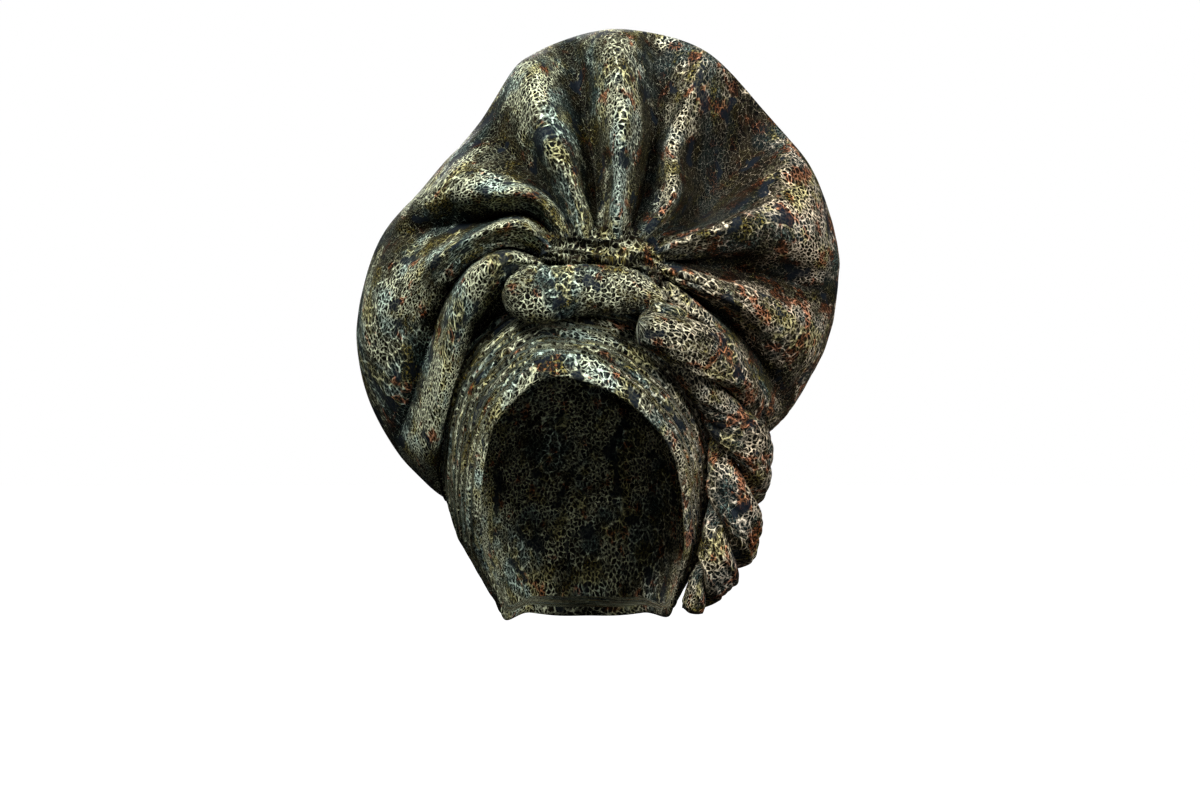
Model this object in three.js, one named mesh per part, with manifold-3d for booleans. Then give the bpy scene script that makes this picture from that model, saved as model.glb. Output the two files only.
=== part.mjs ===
// A tied gele head tie: cloth wound round the head, a tall pleated fan, a gather, a roll and a twisted rope.
// Millimetres, +Z up, the face looks along -Y. The origin is where the top of the head meets the crown.
import * as THREE from "three";
import { mergeVertices } from "three/addons/utils/BufferGeometryUtils.js";
import Module from "manifold-3d";

const wasm = await Module();
wasm.setup();

// Driving sizes of the cloth and of the gaps between pieces
const fanWall = 1.6;
const lipWall = 3.4;
const crownWall = 2.4;
const pieceGap = 0.35;

// The hollow for the head, in level sections: half widths at each depth below the top of the head
const headSections = [
  { depth: 0, shift: 0, side: 0, front: 0, rear: 0 },
  { depth: 3, shift: 0, side: 34, front: 44, rear: 38 },
  { depth: 11, shift: 0, side: 50, front: 63, rear: 58 },
  { depth: 28, shift: 0, side: 64, front: 77, rear: 75 },
  { depth: 50, shift: 0, side: 74, front: 84, rear: 85 },
  { depth: 70, shift: 0, side: 77, front: 88, rear: 91 },
  { depth: 90, shift: 1, side: 77, front: 90, rear: 94 },
  { depth: 111, shift: 1, side: 75, front: 88, rear: 94 },
  { depth: 124, shift: 2, side: 73, front: 84, rear: 92 },
  { depth: 142, shift: 4, side: 70, front: 76, rear: 88 },
  { depth: 157, shift: 5, side: 63, front: 68, rear: 84 },
  { depth: 179, shift: 6, side: 52, front: 58, rear: 78 },
  { depth: 205, shift: 6, side: 47, front: 52, rear: 74 },
];

// The edge of the wrap, from the middle of the brow round the wearer's right side, the nape and back
const wrapEdge = [
  { place: "brow_middle", x: 0, z: -37, facing: "front" },
  { place: "brow_peak", x: -19, z: -36, facing: "front" },
  { place: "hairline_near", x: -42, z: -53, facing: "front" },
  { place: "temple_near", x: -52, z: -66, facing: "front" },
  { place: "eye_near", x: -59, z: -90, facing: "front" },
  { place: "cheek_near", x: -61, z: -127, facing: "front" },
  { place: "jaw_near", x: -60, z: -149, facing: "front" },
  { place: "ear_near", x: -49, z: -179, facing: "front" },
  { place: "nape_near", x: -30, z: -188, facing: "rear" },
  { place: "nape_middle", x: 6, z: -190, facing: "rear" },
  { place: "nape_far", x: 42, z: -188, facing: "rear" },
  { place: "ear_far", x: 61, z: -181, facing: "front" },
  { place: "jaw_far", x: 67, z: -157, facing: "front" },
  { place: "cheek_far", x: 69, z: -127, facing: "front" },
  { place: "eye_far", x: 66, z: -100, facing: "front" },
  { place: "temple_far", x: 59, z: -80, facing: "front" },
  { place: "hairline_far", x: 42, z: -59, facing: "front" },
  { place: "brow_far", x: 20, z: -44, facing: "front" },
];

// Folded edges of the wound layers: distance of each from the edge of the wrap, at four places round it
const wrapPleats = [
  { pleat: "under_layer", brow: 6, near: 8, nape: 12, far: 6, step: 1.3 },
  { pleat: "second_layer", brow: 12, near: 16, nape: 24, far: 12, step: 1.5 },
  { pleat: "third_layer", brow: 17, near: 24, nape: 36, far: 18, step: 1.5 },
  { pleat: "fourth_layer", brow: 23, near: 33, nape: 48, far: 25, step: 1.6 },
  { pleat: "fifth_layer", brow: 29, near: 42, nape: 60, far: 33, step: 1.5 },
  { pleat: "top_layer", brow: 35, near: 52, nape: 72, far: 42, step: 1.2 },
];
const pleatTuck = 0.9;
const pleatFill = 0.5;
const pleatEdge = 0.8;
const woundWall = wrapPleats.reduce((wall, p) => wall - pleatTuck + p.step + pleatFill, lipWall);
const wrapHeart = new THREE.Vector3(0, 4, -88);
const wrapPole = new THREE.Vector3(0, 0.87, 0.5).normalize();
const wrapColumns = 44;
const wrapReach = 88;
const formDepth = 12;
const hollowDepth = 200;
const rayReach = { near: 20, far: 220, halvings: 40 };
const crownRows = 5;
const crownStop = 0.6;

// The folds of the fan, from the wearer's right ear over the top to the left ear: where each leaves the gather,
// where it bends and where it reaches the rim, seen from the front, with its depth at each
const fanFolds = [
  { fold: "near_hem", gx: -18, gz: 24, gy: -60, bx: -57, bz: -22, by: -8, rx: -80, rz: -114, ry: 10 },
  { fold: "near_tuck", gx: -19, gz: 27, gy: -60, bx: -63, bz: -13, by: -34, rx: -90, rz: -108, ry: 14 },
  { fold: "temple_fold", gx: -20, gz: 31, gy: -64, bx: -69, bz: 11, by: -70, rx: -98, rz: -101, ry: 15 },
  { fold: "temple_crease", gx: -18, gz: 33, gy: -60, bx: -74, bz: 24, by: -52, rx: -114, rz: -84, ry: 24 },
  { fold: "wing_low", gx: -17, gz: 35, gy: -60, bx: -80, bz: 30, by: -62, rx: -133, rz: -49, ry: 30 },
  { fold: "wing_fold", gx: -15, gz: 37, gy: -64, bx: -80, bz: 39, by: -72, rx: -139, rz: -8, ry: 30 },
  { fold: "wing_crease", gx: -13, gz: 40, gy: -60, bx: -58, bz: 64, by: -48, rx: -125, rz: 49, ry: 26 },
  { fold: "shoulder_fold", gx: -9, gz: 42, gy: -64, bx: -49, bz: 78, by: -76, rx: -94, rz: 83, ry: 16 },
  { fold: "shoulder_hollow", gx: -6, gz: 43, gy: -60, bx: -36, bz: 94, by: -54, rx: -62, rz: 121, ry: 8 },
  { fold: "near_plume", gx: 5, gz: 44, gy: -64, bx: -15, bz: 107, by: -84, rx: -33, rz: 159, ry: 0 },
  { fold: "near_flute", gx: 15, gz: 46, gy: -60, bx: 8, bz: 113, by: -56, rx: -5, rz: 175, ry: -4 },
  { fold: "middle_plume", gx: 23, gz: 46, gy: -64, bx: 25, bz: 113, by: -88, rx: 16, rz: 179, ry: -8 },
  { fold: "middle_flute", gx: 32, gz: 46, gy: -60, bx: 49, bz: 120, by: -54, rx: 41, rz: 179, ry: -6 },
  { fold: "narrow_plume", gx: 40, gz: 44, gy: -64, bx: 64, bz: 108, by: -70, rx: 81, rz: 165, ry: 0 },
  { fold: "great_hollow", gx: 43, gz: 43, gy: -60, bx: 85, bz: 90, by: -46, rx: 118, rz: 131, ry: 6 },
  { fold: "hollow_brow", gx: 46, gz: 41, gy: -60, bx: 113, bz: 81, by: -60, rx: 147, rz: 94, ry: 12 },
  { fold: "side_fold", gx: 48, gz: 38, gy: -64, bx: 100, bz: 54, by: -76, rx: 162, rz: 49, ry: 18 },
  { fold: "side_crease", gx: 49, gz: 35, gy: -60, bx: 100, bz: 29, by: -52, rx: 164, rz: 14, ry: 20 },
  { fold: "low_fold", gx: 50, gz: 31, gy: -64, bx: 106, bz: 6, by: -70, rx: 157, rz: -17, ry: 20 },
  { fold: "low_crease", gx: 51, gz: 27, gy: -60, bx: 98, bz: -8, by: -50, rx: 135, rz: -57, ry: 14 },
  { fold: "rope_fold", gx: 51, gz: 22, gy: -64, bx: 89, bz: -12, by: -58, rx: 126, rz: -67, ry: 12 },
  { fold: "rope_tuck", gx: 50, gz: 18, gy: -60, bx: 80, bz: -18, by: -34, rx: 113, rz: -77, ry: 12 },
  { fold: "far_hem", gx: 46, gz: 14, gy: -60, bx: 64, bz: -24, by: -14, rx: 89, rz: -82, ry: 12 },
];
const columnsPerFold = 3;
const frontRows = 8;
const rimRows = 4;
const backRows = 6;
const rimShoulder = { reach: 0.2, forward: 0.6 };
const rimBack = { reach: 0.08, depth: 18 };
const backSheet = {
  depth: 54,
  nearTurn: -122,
  farTurn: 122,
  reach: 120,
  endDepth: 112,
  middleDepth: 84,
  lift: 3.4,
};

// The roll across the front, in upright sections from its near end to its far end
const rollSections = [
  { x: -45, z: 15, y: -74, height: 8, depth: 8 },
  { x: -41, z: 13, y: -77, height: 21, depth: 18 },
  { x: -30, z: 12.5, y: -82, height: 34, depth: 28 },
  { x: -18, z: 12.5, y: -85, height: 35, depth: 30 },
  { x: -4, z: 14.5, y: -86, height: 31, depth: 28 },
  { x: 14, z: 15, y: -86, height: 30, depth: 27 },
  { x: 34, z: 16.5, y: -82, height: 25, depth: 24 },
  { x: 46, z: 16, y: -76, height: 16, depth: 16 },
  { x: 51, z: 16.5, y: -72, height: 6, depth: 6 },
];
const rollSides = 12;
const rollSteps = 24;
const rollCrease = { depth: 0.06, pitch: 0.9, lean: 2.2 };

// The gather under the fan's folds, a small bundle behind the roll
const gatherBundle = { x: 15, y: -68, z: 28, halfWidth: 37, halfDepth: 11, halfHeight: 20 };
const gatherPleats = { count: 12, depth: 0.06, sides: 22, rings: 8 };

// The twisted rope: its middle line and half width, from beside the roll to behind the jaw
const ropeStations = [
  { x: 43, z: -4, y: -90, half: 12, turn: -80 },
  { x: 60, z: -11, y: -81, half: 16, turn: -31 },
  { x: 77, z: -24, y: -65, half: 18, turn: 31 },
  { x: 94, z: -50, y: -45, half: 19, turn: 116 },
  { x: 101, z: -83, y: -33, half: 19, turn: 231 },
  { x: 98, z: -115, y: -28, half: 18, turn: 360 },
  { x: 91, z: -146, y: -22, half: 18.5, turn: 506 },
  { x: 77, z: -170, y: -16, half: 12.5, turn: 669 },
  { x: 62, z: -186, y: -10, half: 6, turn: 760 },
];
const ropeSteps = 30;
const strandSides = 10;
const strandParting = 0.5;
// A strand's section, as shares of the rope's half width: how far out its middle lies, its thickness and width
const strandSection = { offset: 0.5, thick: 0.58, wide: 0.88 };

// Small helpers
const lerp = THREE.MathUtils.lerp;
const degrees = THREE.MathUtils.degToRad;
const smooth = (t) => t * t * (3 - 2 * t);

// Value of a table's column at a place given by another column, straight between the rows
function readTable(rows, key, at, column) {
  const last = rows.length - 1;
  let i = 0;
  while (i < last - 1 && rows[i + 1][key] < at) i++;
  const span = rows[i + 1][key] - rows[i][key];
  const t = THREE.MathUtils.clamp((at - rows[i][key]) / span, 0, 1);
  return lerp(rows[i][column], rows[i + 1][column], t);
}

// Half width of the hollow at a depth: its square runs straight between sections, which rounds the crown
function halfWidth(depth, column) {
  const squares = headSections.map((s) => ({ depth: s.depth, square: s[column] ** 2 }));
  return Math.sqrt(readTable(squares, "depth", depth, "square"));
}

// How far out a point is: 1 on the surface of the hollow grown by a wall
function outness(point, wall) {
  const depth = wall - point.z;
  if (depth <= 0) return 2;
  const grownDepth = Math.max(0, depth * (1 - wall / hollowDepth));
  const shift = readTable(headSections, "depth", grownDepth, "shift");
  const side = halfWidth(grownDepth, "side") + wall;
  const length = halfWidth(grownDepth, point.y < 0 ? "front" : "rear") + wall;
  return Math.hypot((point.x - shift) / side, point.y / length);
}

// The point where a ray from the middle of the head leaves the hollow grown by a wall
function wrapPoint(direction, wall) {
  let { near, far } = rayReach;
  for (let i = 0; i < rayReach.halvings; i++) {
    const middle = (near + far) / 2;
    const point = wrapHeart.clone().addScaledVector(direction, middle);
    if (outness(point, wall) < 1) near = middle;
    else far = middle;
  }
  return wrapHeart.clone().addScaledVector(direction, near);
}

// Moves a point of the cloth out of the wrap, to where it rests on it
function restOnWrap(point, lift) {
  const ray = point.clone().sub(wrapHeart);
  const distance = ray.length();
  const direction = ray.normalize();
  const surface = wrapPoint(direction, wrapWall(direction) + lift);
  return distance < surface.distanceTo(wrapHeart) ? surface : point;
}

// A closed shell between an outer and an inner grid of points, with a wall all along its edge
function shell(outer, inner) {
  const rows = outer.length;
  const columns = outer[0].length;
  const points = [...outer.flat(), ...inner.flat()];
  const corner = (layer, r, c) => layer * rows * columns + r * columns + c;
  const index = [];
  const quad = (a, b, c, d) => index.push(a, b, c, a, c, d);
  const end = rows - 1;
  const side = columns - 1;
  for (let r = 0; r < end; r++)
    for (let c = 0; c < side; c++) {
      quad(corner(0, r, c), corner(0, r, c + 1), corner(0, r + 1, c + 1), corner(0, r + 1, c));
      quad(corner(1, r, c), corner(1, r + 1, c), corner(1, r + 1, c + 1), corner(1, r, c + 1));
    }
  for (let c = 0; c < side; c++) {
    quad(corner(0, 0, c), corner(1, 0, c), corner(1, 0, c + 1), corner(0, 0, c + 1));
    quad(corner(0, end, c), corner(0, end, c + 1), corner(1, end, c + 1), corner(1, end, c));
  }
  for (let r = 0; r < end; r++) {
    quad(corner(0, r, 0), corner(0, r + 1, 0), corner(1, r + 1, 0), corner(1, r, 0));
    quad(corner(0, r, side), corner(1, r, side), corner(1, r + 1, side), corner(0, r + 1, side));
  }
  return geometryOf(points, index);
}

function geometryOf(points, index) {
  const geometry = new THREE.BufferGeometry();
  geometry.setAttribute(
    "position",
    new THREE.Float32BufferAttribute(points.flatMap((p) => [p.x, p.y, p.z]), 3),
  );
  geometry.setIndex(index);
  return geometry;
}

// A solid lofted through closed loops of points, with both ends capped from their middles
function loft(loops) {
  const sides = loops[0].length;
  const points = loops.flat();
  const index = [];
  for (let r = 0; r < loops.length - 1; r++)
    for (let c = 0; c < sides; c++) {
      const next = (c + 1) % sides;
      const a = r * sides + c;
      const b = r * sides + next;
      index.push(a, b, b + sides, a, b + sides, a + sides);
    }
  const capAt = (loop, offset, turned) => {
    const middle = loop.reduce((sum, p) => sum.add(p), new THREE.Vector3()).divideScalar(sides);
    points.push(middle);
    const hub = points.length - 1;
    for (let c = 0; c < sides; c++) {
      const next = (c + 1) % sides;
      if (turned) index.push(hub, offset + c, offset + next);
      else index.push(hub, offset + next, offset + c);
    }
  };
  capAt(loops[0], 0, false);
  capAt(loops[loops.length - 1], (loops.length - 1) * sides, true);
  return geometryOf(points, index);
}

// Manifold solids, for cutting a piece back where a neighbour lies
function toSolid(geometry) {
  const plain = geometry.clone();
  plain.deleteAttribute("normal");
  plain.deleteAttribute("uv");
  const merged = mergeVertices(plain, 1e-4);
  return new wasm.Manifold(
    new wasm.Mesh({
      numProp: 3,
      vertProperties: merged.attributes.position.array,
      triVerts: new Uint32Array(merged.index.array),
    }),
  );
}

function toGeometry(solid) {
  const mesh = solid.getMesh();
  const geometry = new THREE.BufferGeometry();
  geometry.setAttribute("position", new THREE.BufferAttribute(mesh.vertProperties, 3));
  geometry.setIndex(new THREE.BufferAttribute(mesh.triVerts, 1));
  return geometry;
}

// The piece less its neighbours, without crumbs
function cutBack(piece, neighbours) {
  const cut = neighbours.reduce((solid, other) => solid.subtract(other), piece);
  const parts = cut.decompose().sort((a, b) => b.volume() - a.volume());
  return parts[0];
}

// The wrap
function edgeDirection(row) {
  const depth = -row.z;
  const shift = readTable(headSections, "depth", depth, "shift");
  const side = halfWidth(depth, "side") + lipWall;
  const length = halfWidth(depth, row.facing) + lipWall;
  const across = THREE.MathUtils.clamp((row.x - shift) / side, -1, 1);
  const y = Math.sqrt(1 - across * across) * length * (row.facing === "front" ? -1 : 1);
  return new THREE.Vector3(row.x, y, row.z).sub(wrapHeart).normalize();
}

const wrapLoop = new THREE.CatmullRomCurve3(wrapEdge.map(edgeDirection), true, "centripetal")
  .getSpacedPoints(wrapColumns)
  .slice(0, wrapColumns)
  .map((d) => d.normalize());

// A pleat's distance from the edge of the wrap, blended between the four places where it is given
function pleatDistance(pleat, direction) {
  const turn = Math.atan2(direction.x, -direction.y);
  const sideways = Math.abs(Math.sin(turn)) ** 2;
  const side = turn < 0 ? pleat.near : pleat.far;
  const middle = Math.cos(turn) > 0 ? pleat.brow : pleat.nape;
  return lerp(middle, side, sideways);
}

// Which way a direction points as seen along the pole of the wrap
function headingOf(direction) {
  return direction.clone().addScaledVector(wrapPole, -direction.dot(wrapPole)).normalize();
}

// How thick the wound layers are in a direction from the middle of the head
function wrapWall(direction) {
  const heading = headingOf(direction);
  const near = (d) => headingOf(d).dot(heading);
  const start = wrapLoop.reduce((best, d) => (near(d) > near(best) ? d : best));
  const whole = start.angleTo(wrapPole) * wrapReach;
  const distance = whole - direction.angleTo(wrapPole) * wrapReach;
  const pleated = pleatDistance(wrapPleats[wrapPleats.length - 1], start);
  const t = Math.max(0, (distance - pleated) / (whole - pleated));
  return lerp(crownWall, woundWall, (1 - Math.min(1, t)) ** 3);
}

function wrapRows(grow, innerWall) {
  const outer = [];
  const inner = [];
  const addRow = (distanceOf, wallOf) => {
    const outerRow = [];
    const innerRow = [];
    for (const start of wrapLoop) {
      const whole = start.angleTo(wrapPole) * wrapReach;
      const share = Math.min(1, distanceOf(start, whole) / whole);
      const axis = start.clone().cross(wrapPole).normalize();
      const direction = start.clone().applyAxisAngle(axis, start.angleTo(wrapPole) * share);
      outerRow.push(wrapPoint(direction, wallOf(share) + grow));
      innerRow.push(wrapPoint(direction, innerWall));
    }
    outer.push(outerRow);
    inner.push(innerRow);
  };
  let wall = lipWall;
  addRow(() => 0, () => wall);
  for (const pleat of wrapPleats) {
    const before = wall - pleatTuck;
    const after = before + pleat.step;
    addRow((d) => pleatDistance(pleat, d) - pleatEdge, () => before);
    addRow((d) => pleatDistance(pleat, d) + pleatEdge, () => after);
    wall = after + pleatFill;
  }
  const topPleat = wrapPleats[wrapPleats.length - 1];
  for (let r = 1; r <= crownRows; r++) {
    const t = r / (crownRows + crownStop);
    const wallHere = lerp(crownWall, woundWall, (1 - t) ** 3);
    addRow((d, whole) => lerp(pleatDistance(topPleat, d), whole, t), () => wallHere);
  }
  return { outer, inner };
}

function makeHeadWrap() {
  const { outer, inner } = wrapRows(0, 0);
  return closeAtPole(outer, inner, crownWall, 0);
}

// The wrap with a small gap round it, for cutting back what lies against it
function makeWrapForm() {
  const { outer, inner } = wrapRows(pieceGap, -formDepth);
  return closeAtPole(outer, inner, crownWall + pieceGap, -formDepth);
}

// A shell whose last rows end in one point each
function closeAtPole(outer, inner, outerWall, innerWall) {
  const columns = outer[0].length;
  const rows = outer.length;
  const points = [...outer.flat(), ...inner.flat()];
  points.push(wrapPoint(wrapPole, outerWall), wrapPoint(wrapPole, innerWall));
  const innerStart = rows * columns;
  const outerPole = points.length - 2;
  const innerPole = points.length - 1;
  const index = [];
  for (let c = 0; c < columns; c++) {
    const next = (c + 1) % columns;
    for (let r = 0; r < rows - 1; r++) {
      const a = r * columns + c;
      const b = r * columns + next;
      index.push(a, b + columns, b, a, a + columns, b + columns);
      const i = innerStart + a;
      const j = innerStart + b;
      index.push(i, j, j + columns, i, j + columns, i + columns);
    }
    const last = (rows - 1) * columns;
    index.push(last + c, outerPole, last + next);
    index.push(innerStart + last + c, innerStart + last + next, innerPole);
    index.push(c, innerStart + next, innerStart + c, c, next, innerStart + next);
  }
  return geometryOf(points, index);
}

// The fan: each fold is a profile that leaves the gather, bends, turns over the rim and comes down the back
function foldProfile(row, t) {
  const gather = new THREE.Vector3(row.gx, row.gy, row.gz);
  const bend = new THREE.Vector3(row.bx, row.by, row.bz);
  const rim = new THREE.Vector3(row.rx, row.ry, row.rz);
  const shoulder = rim.clone().lerp(bend, rimShoulder.reach);
  shoulder.y = lerp(rim.y, bend.y, rimShoulder.forward);
  const seat = backSeat(t);
  const turned = rim.clone().lerp(seat, rimBack.reach);
  turned.y = Math.min(rim.y + rimBack.depth, lerp(rim.y, seat.y, 0.5));
  const middle = rim.clone().lerp(seat, 0.5);
  middle.y = lerp(middle.y, backSheet.depth, Math.sin(Math.PI * t) ** 0.5);
  return { front: [gather, bend, shoulder, rim], back: [rim, turned, middle, seat] };
}

// Where the back sheet is seated on the wrap, from one hem round the nape to the other
function backSeat(t) {
  const turn = degrees(lerp(backSheet.nearTurn, -360 + backSheet.farTurn, t));
  const down = lerp(backSheet.endDepth, backSheet.middleDepth, Math.sin(Math.PI * t));
  const level = new THREE.Vector3(Math.sin(turn), -Math.cos(turn), 0).multiplyScalar(backSheet.reach);
  const direction = level.add(new THREE.Vector3(0, 0, -down)).sub(wrapHeart).normalize();
  return wrapPoint(direction, wrapWall(direction) + backSheet.lift);
}

function profilePoints(row, t) {
  const { front, back } = foldProfile(row, t);
  const whole = new THREE.CatmullRomCurve3([...front, ...back.slice(1)], false, "centripetal");
  const knots = front.length + back.length - 2;
  const rimAt = (front.length - 1) / knots;
  const points = [];
  const rows = frontRows + rimRows + backRows;
  for (let r = 0; r <= rows; r++) {
    const u =
      r <= frontRows + rimRows / 2
        ? (rimAt * r) / (frontRows + rimRows / 2)
        : rimAt + ((1 - rimAt) * (r - frontRows - rimRows / 2)) / (backRows + rimRows / 2);
    points.push(whole.getPoint(u));
  }
  return points;
}

function makeFan(grow) {
  const profiles = fanFolds.map((row, i) => profilePoints(row, i / (fanFolds.length - 1)));
  const rows = profiles[0].length;
  const columns = (fanFolds.length - 1) * columnsPerFold + 1;
  const surface = [];
  for (let r = 0; r < rows; r++) {
    const across = new THREE.CatmullRomCurve3(profiles.map((p) => p[r]), false, "centripetal");
    const line = [];
    for (let c = 0; c < columns; c++) {
      line.push(restOnWrap(across.getPoint(c / (columns - 1)), pieceGap + fanWall));
    }
    surface.push(line);
  }
  const facing = surface.map((line, r) => line.map((_, c) => sheetFacing(surface, r, c)));
  surface[0] = surface[0].map((p, c) => {
    const ahead = p.clone().sub(surface[1][c]).normalize();
    return p.clone().addScaledVector(ahead, grow);
  });
  const side = (offset) =>
    surface.map((line, r) =>
      line.map((p, c) => restOnWrap(p.clone().addScaledVector(facing[r][c], offset), pieceGap - grow)),
    );
  const outer = side(fanWall / 2 + grow);
  const inner = side(-fanWall / 2 - grow);
  return shell(outer, inner);
}

// The way the sheet faces at a point, taken over its near neighbours so that narrow folds keep their wall
function sheetFacing(surface, r, c) {
  const rows = surface.length - 1;
  const columns = surface[0].length - 1;
  const up = surface[Math.min(rows, r + 1)][c].clone().sub(surface[Math.max(0, r - 1)][c]);
  const along = surface[r][Math.min(columns, c + 1)].clone().sub(surface[r][Math.max(0, c - 1)]);
  return along.cross(up).normalize();
}

// The roll: upright oval sections with shallow creases across it, pinched where it is tucked in at the ends
function rollSection(x, grow) {
  const read = (column) => readTable(rollSections, "x", x, column);
  const height = read("height") / 2 + grow;
  const depth = read("depth") / 2 + grow;
  const loop = [];
  for (let c = 0; c < rollSides; c++) {
    const turn = (2 * Math.PI * c) / rollSides;
    const wave = Math.sin(rollCrease.pitch * x + rollCrease.lean * Math.cos(turn));
    const crease = 1 - rollCrease.depth * (1 + wave);
    loop.push(
      new THREE.Vector3(
        x,
        read("y") - Math.cos(turn) * depth * crease,
        read("z") - Math.sin(turn) * height * crease,
      ),
    );
  }
  return loop;
}

function makeRoll(grow) {
  const first = rollSections[0].x;
  const last = rollSections[rollSections.length - 1].x;
  const loops = [];
  for (let i = 0; i <= rollSteps; i++) {
    const t = i / rollSteps;
    const x = lerp(first, last, t) + (t * 2 - 1) * grow;
    loops.push(rollSection(x, grow));
  }
  return loft(loops);
}

// The gather: a squat bundle with upright creases, one for each fold that runs into it
function makeGather(grow) {
  const shape = new THREE.SphereGeometry(1, gatherPleats.sides, gatherPleats.rings);
  const at = shape.attributes.position;
  for (let i = 0; i < at.count; i++) {
    const p = new THREE.Vector3().fromBufferAttribute(at, i);
    const pleat = 1 + gatherPleats.depth * Math.sin(gatherPleats.count * Math.atan2(p.x, -p.z));
    at.setXYZ(
      i,
      gatherBundle.x + p.x * (gatherBundle.halfWidth + grow) * pleat,
      gatherBundle.y - p.z * (gatherBundle.halfDepth + grow) * pleat,
      gatherBundle.z + p.y * (gatherBundle.halfHeight + grow),
    );
  }
  return shape;
}

// The rope: two strands that wind round one middle line, each flat where it meets the other
function strandLoops(phase, grow) {
  const line = new THREE.CatmullRomCurve3(
    ropeStations.map((s) => new THREE.Vector3(s.x, s.y, s.z)),
    false,
    "centripetal",
  );
  const loops = [];
  for (let i = 0; i <= ropeSteps; i++) {
    const t = i / ropeSteps;
    const middle = line.getPoint(t);
    const stations = ropeStations.map((s, k) => ({ ...s, at: k / (ropeStations.length - 1) }));
    const half = readTable(stations, "at", t, "half") + grow;
    const along = line.getTangent(t);
    const front = new THREE.Vector3(0, -1, 0).addScaledVector(along, along.y).normalize();
    const side = front.clone().cross(along).normalize();
    const turn = degrees(readTable(stations, "at", t, "turn") + phase);
    const out = front.clone().multiplyScalar(Math.cos(turn)).addScaledVector(side, Math.sin(turn));
    const wide = along.clone().cross(out);
    const loop = [];
    for (let c = 0; c < strandSides; c++) {
      const a = (2 * Math.PI * c) / strandSides;
      const share = strandSection.offset + strandSection.thick * Math.cos(a);
      const reach = Math.max(strandParting - grow, half * share);
      const width = half * strandSection.wide * Math.sin(a);
      loop.push(middle.clone().addScaledVector(out, reach).addScaledVector(wide, width));
    }
    loops.push(loop);
  }
  return loops;
}

function makeStrand(phase, grow) {
  return loft(strandLoops(phase, grow));
}

// Each softer piece is cut back where a firmer neighbour lies, a small gap away from it
const wrapForm = toSolid(makeWrapForm());
const fanForm = toSolid(makeFan(pieceGap));
const gather = cutBack(toSolid(makeGather(0)), [wrapForm, fanForm]);
const gatherForm = toSolid(makeGather(pieceGap));
const roll = cutBack(toSolid(makeRoll(0)), [wrapForm, fanForm, gatherForm]);
const rollForm = toSolid(makeRoll(pieceGap));
const strandA = cutBack(toSolid(makeStrand(0, 0)), [wrapForm, fanForm, rollForm, gatherForm]);
const strandForm = toSolid(makeStrand(0, pieceGap));
const strandB = cutBack(toSolid(makeStrand(180, 0)), [wrapForm, fanForm, rollForm, gatherForm, strandForm]);

const cloth = new THREE.MeshStandardMaterial({ color: "#3d4038", roughness: 0.75, metalness: 0 });
const part = new THREE.Group();
function addPiece(name, geometry) {
  const mesh = new THREE.Mesh(geometry, cloth.clone());
  mesh.name = name;
  part.add(mesh);
}
addPiece("head_wrap", makeHeadWrap());
addPiece("fan", makeFan(0));
addPiece("gather_knot", toGeometry(gather));
addPiece("front_roll", toGeometry(roll));
addPiece("twist_strand_a", toGeometry(strandA));
addPiece("twist_strand_b", toGeometry(strandB));

export default part;
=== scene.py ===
# %% [markdown]
# A tied gele head tie, looked at from the front. It is one long patterned cloth: wound into a cap,
# gathered at the front above a padded roll, opened into a tall pleated fan, and twisted into a rope
# down one side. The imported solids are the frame. Each one is replaced here by a finer piece of
# cloth in the same place.

# %% Load the frame
import math

import bmesh
import bpy
import numpy as np
from mathutils import Matrix, Vector, noise


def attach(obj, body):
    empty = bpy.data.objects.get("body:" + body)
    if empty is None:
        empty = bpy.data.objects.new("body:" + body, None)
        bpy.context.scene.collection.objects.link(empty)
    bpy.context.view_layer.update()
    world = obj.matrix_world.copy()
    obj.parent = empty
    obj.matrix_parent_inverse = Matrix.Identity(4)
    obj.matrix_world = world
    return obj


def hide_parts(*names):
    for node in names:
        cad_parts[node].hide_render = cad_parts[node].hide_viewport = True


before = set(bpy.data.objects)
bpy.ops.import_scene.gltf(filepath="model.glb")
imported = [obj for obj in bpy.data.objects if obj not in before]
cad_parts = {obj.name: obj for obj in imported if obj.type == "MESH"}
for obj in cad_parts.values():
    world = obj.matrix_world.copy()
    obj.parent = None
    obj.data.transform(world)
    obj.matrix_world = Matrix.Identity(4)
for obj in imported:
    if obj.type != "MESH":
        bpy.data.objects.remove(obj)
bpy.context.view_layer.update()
MM = 0.001

# %% [markdown]
# Shapes are worked out in millimetres, in the frame's own directions: X is to the right, the front
# looks along -Y, Z is up, and the origin is the top of the hollow. Sizes sit in small tables with
# named columns, so a size can be changed without reading the code that uses it.


# %% Small helpers for tables and blends
def table(columns, *rows):
    """One array for each named column."""
    return dict(zip(columns.split(), np.array(rows, float).T))


def smoothstep(t):
    t = np.clip(t, 0, 1)
    return t * t * (3 - 2 * t)


def mix(a, b, t):
    return a + (b - a) * t


def unit(v):
    return v / np.linalg.norm(v, axis=-1, keepdims=True)


print("a smooth blend from 0 to 1:", smoothstep(np.linspace(0, 1, 5)).round(2))


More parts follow.
